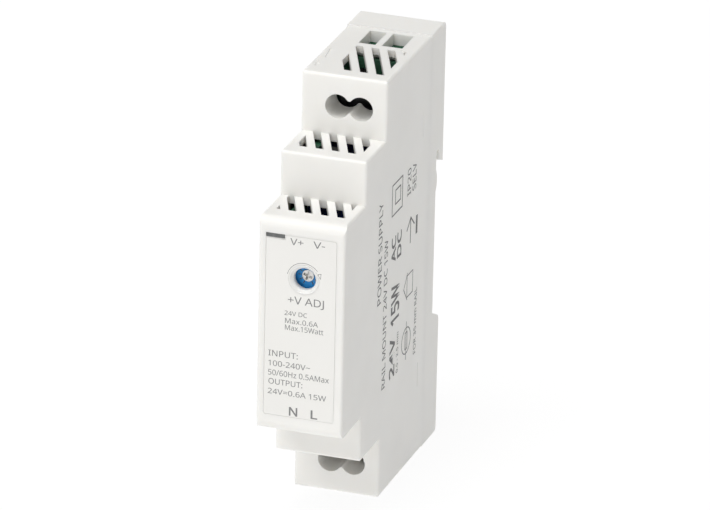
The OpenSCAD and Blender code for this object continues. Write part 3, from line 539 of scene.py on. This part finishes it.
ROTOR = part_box("trimmer_rotor")
ADJUST_X = (ROTOR[0].x + ROTOR[1].x) / 2 / MM
ADJUST_Z = (ROTOR[0].z + ROTOR[1].z) / 2 / MM


def print_label():
    print_nose("v_plus", "V+", (-2.46, 0.27), (62.6, 64.0))
    print_nose("v_minus", "V-", (2.33, 4.75), (62.6, 64.0))
    print_nose("adjust", "+V ADJ", (-2.75, 4.75), (49.75, 51.75))
    print_nose("range", "24V DC", (-3.4, 1.3), (47.55, 48.5))
    print_nose("current", "Max.0.6A", (-3.25, 3.6), (45.85, 46.95))
    print_nose("power", "Max.15Watt", (-3.25, 4.75), (44.4, 45.5))
    print_nose("input", "INPUT:", (-6.6, -0.46), (38.4, 39.65))
    print_nose("input_volts", "100-240V~", (-6.6, 2.15), (36.3, 37.5))
    print_nose("input_hertz", "50/60Hz 0.5AMax", (-6.6, 6.1), (34.3, 35.5))
    print_nose("output", "OUTPUT:", (-6.5, 0.6), (32.4, 33.6))
    print_nose("output_volts", "24V=0.6A 15W", (-6.6, 5.6), (30.3, 31.45))
    print_nose("neutral", "N", (-2.1, -0.35), (26.15, 28.0), 0.012)
    print_nose("line", "L", (2.45, 3.85), (26.15, 28.0), 0.012)
    # turning arrow over the adjuster
    r = 3.55                    # just outside the bevel of the hole
    head = arc(ADJUST_X, ADJUST_Z, r, 14, 14, 1)[0]
    drawn("print_turn_arrow",
          [(arc(ADJUST_X, ADJUST_Z, r, 166, 38, 30), 0.09, False),
           ([(head[0] - 0.55, head[1] + 0.75), (head[0] + 0.1, head[1] + 0.95),
             (head[0] - 0.02, head[1] - 0.15)], 0.09, True)],
          on_nose, INK)


def outline(z, y):
    """Corners of a box on the right side, z upwards and y from the nose."""
    return [(z[0], -y[0]), (z[1], -y[0]), (z[1], -y[1]), (z[0], -y[1])]


def print_sides():
    print_side("title", "POWER SUPPLY", (43.1, 64.9), (20.7, 23.0))
    print_side("kind", "RAIL MOUNT 24V DC 15W", (23.4, 55.6), (24.6, 26.7))
    print_side("protection", "IP20", (60.1, 65.9), (38.4, 40.6))
    print_side("class", "SELV", (60.1, 65.9), (41.6, 43.9))
    print_side("alternating", "AC", (48.9, 54.6), (29.1, 31.8), 0.02)
    print_side("direct", "DC", (48.9, 54.6), (32.6, 35.3), 0.02)
    print_side("rating", "15W", (35.0, 43.8), (29.6, 34.8), 0.02)
    print_side("volts", "24V", (23.6, 32.4), (29.3, 32.6), 0.02)
    print_side("wire", "0.5 - 2.5 mm", (23.6, 32.4), (33.6, 34.8))
    print_side("rail", "FOR 35 mm RAIL", (23.4, 37.8), (44.6, 46.1))
    strokes = [
        # two squares: the class of its insulation
        (outline((59.4, 66.0), (28.8, 35.2)), 0.3, True),
        (outline((61.4, 64.4), (30.8, 34.0)), 0.3, True),
        # house: for use indoors
        (outline((37.9, 42.6), (39.6, 43.2)), 0.22, True),
        ([(37.3, -39.8), (40.25, -37.5), (43.2, -39.8)], 0.22, False),
        # fuse in a ring
        (arc(28.4, -39.8, 2.8, 0, 360, 40)[:-1], 0.22, True),
        (outline((26.6, 30.2), (39.1, 40.5)), 0.2, True),
        ([(24.2, -39.8), (32.6, -39.8)], 0.2, False),
        # arrow to the top, and a line under it
        ([(49.2, -41.0), (54.6, -41.0)], 0.35, False),
        ([(52.6, -38.6), (54.8, -41.0), (52.6, -43.4)], 0.35, False),
        ([(49.9, -44.9), (53.9, -44.9)], 1.0, False),
    ]
    drawn("side_symbols", strokes, on_side, INK_SIDE)


TRIMMER_FACE_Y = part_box("trimmer_body")[0].y


def on_trimmer(u, w, lift):
    return Vector((u, TRIMMER_FACE_Y - lift, w))


def print_scale():
    """Dark scale marks around the adjuster's rotor."""
    strokes = []
    for angle in range(-150, 151, 30):
        a = math.radians(angle)
        ends = [(ADJUST_X + r * math.sin(a), ADJUST_Z + r * math.cos(a)) for r in (1.5, 2.1)]
        strokes.append((ends, 0.2, False))
    drawn("trimmer_scale", strokes, on_trimmer, INK_SIDE)


print_label()
print_sides()
print_scale()


# ---------------------------------------------------------------- spring

WIRE_R = 0.2 * MM
FREE_TURNS = 6.5
END_TURNS = 0.75            # turns that are closed at each end


def spring_piece():
    """The latch's coil spring as smooth round wire with closed ends."""
    low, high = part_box("latch_spring")
    wire = WIRE_R
    radius = (high.x - low.x) / 2 - wire
    middle = Vector(((low.x + high.x) / 2, (low.y + high.y) / 2, 0))
    per_turn, sides = 28, 12
    total = FREE_TURNS + 2 * END_TURNS
    height = high.z - low.z - 2 * wire
    closed = 2.02 * wire        # pitch where the turns lie against each other
    rise = height - 2 * END_TURNS * closed
    bm = bmesh.new()
    rings = []
    count = int(total * per_turn)
    for i in range(count + 1):
        t = i / per_turn
        if t < END_TURNS:
            z = t * closed
        elif t > total - END_TURNS:
            z = height - (total - t) * closed
        else:
            z = END_TURNS * closed + (t - END_TURNS) / FREE_TURNS * rise
        a = 2 * math.pi * t
        out = Vector((math.cos(a), math.sin(a), 0))
        centre = middle + out * radius + Vector((0, 0, low.z + wire + z))
        ring = []
        for k in range(sides):
            b = 2 * math.pi * k / sides
            spoke = math.cos(b) * out + math.sin(b) * Vector((0, 0, 1))
            ring.append(bm.verts.new(centre + wire * spoke))
        rings.append(ring)
    for a, b in zip(rings, rings[1:]):
        for k in range(sides):
            bm.faces.new((a[k], a[(k + 1) % sides], b[(k + 1) % sides], b[k]))
    bm.faces.new(list(reversed(rings[0])))
    bm.faces.new(rings[-1])
    bmesh.ops.recalc_face_normals(bm, faces=bm.faces)
    obj = add_mesh("latch_coil_spring", bm, MATERIALS["spring_steel"])
    for p in obj.data.polygons:
        p.use_smooth = True
    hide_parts("latch_spring")
    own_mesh(obj)


spring_piece()


# ---------------------------------------------------------------- floor and light

FLOOR_GREY = (0.12, 0.12, 0.12)
FLOOR_GLOW = 0.9            # makes the floor white, so that it carries hardly any shadow
FLOOR_HALF = 12             # metres from its middle to its edge
FLOOR_GAP = 0.02 * MM       # between the object and the floor
WORLD_LIGHT = 0.29


def add_floor():
    s = Shader("floor_material", FLOOR_GREY, 0.9, specular=0.0)
    s.set("Emission Color", (1, 1, 1, 1))
    s.set("Emission Strength", FLOOR_GLOW)
    bm = bmesh.new()
    bmesh.ops.create_grid(bm, x_segments=1, y_segments=1, size=FLOOR_HALF)
    mesh = bpy.data.meshes.new("floor")
    bm.to_mesh(mesh)
    bm.free()
    floor = bpy.data.objects.new("floor", mesh)
    floor.location.z = LOW.z - FLOOR_GAP
    floor.data.materials.append(s.mat)
    bpy.context.scene.collection.objects.link(floor)


def add_world():
    world = bpy.data.worlds.new("studio")
    world.use_nodes = True
    background = world.node_tree.nodes["Background"]
    background.inputs["Color"].default_value = (1, 1, 1, 1)
    background.inputs["Strength"].default_value = WORLD_LIGHT
    bpy.context.scene.world = world


def add_sun(name, towards, strength, softness):
    """A very soft light; towards is the direction in which it shines."""
    data = bpy.data.lights.new(name, "SUN")
    data.energy = strength
    data.angle = math.radians(softness)
    light = bpy.data.objects.new(name, data)
    light.rotation_euler = Vector(towards).to_track_quat("-Z", "Y").to_euler()
    bpy.context.scene.collection.objects.link(light)


add_floor()
add_world()
add_sun("key", (0.25, 0.5, -0.85), 1.25, 40)
add_sun("front", (0.1, 1, -0.15), 0.54, 30)
add_sun("top", (0.05, 0.1, -1), 1.05, 30)
bpy.context.scene.view_settings.view_transform = "Standard"
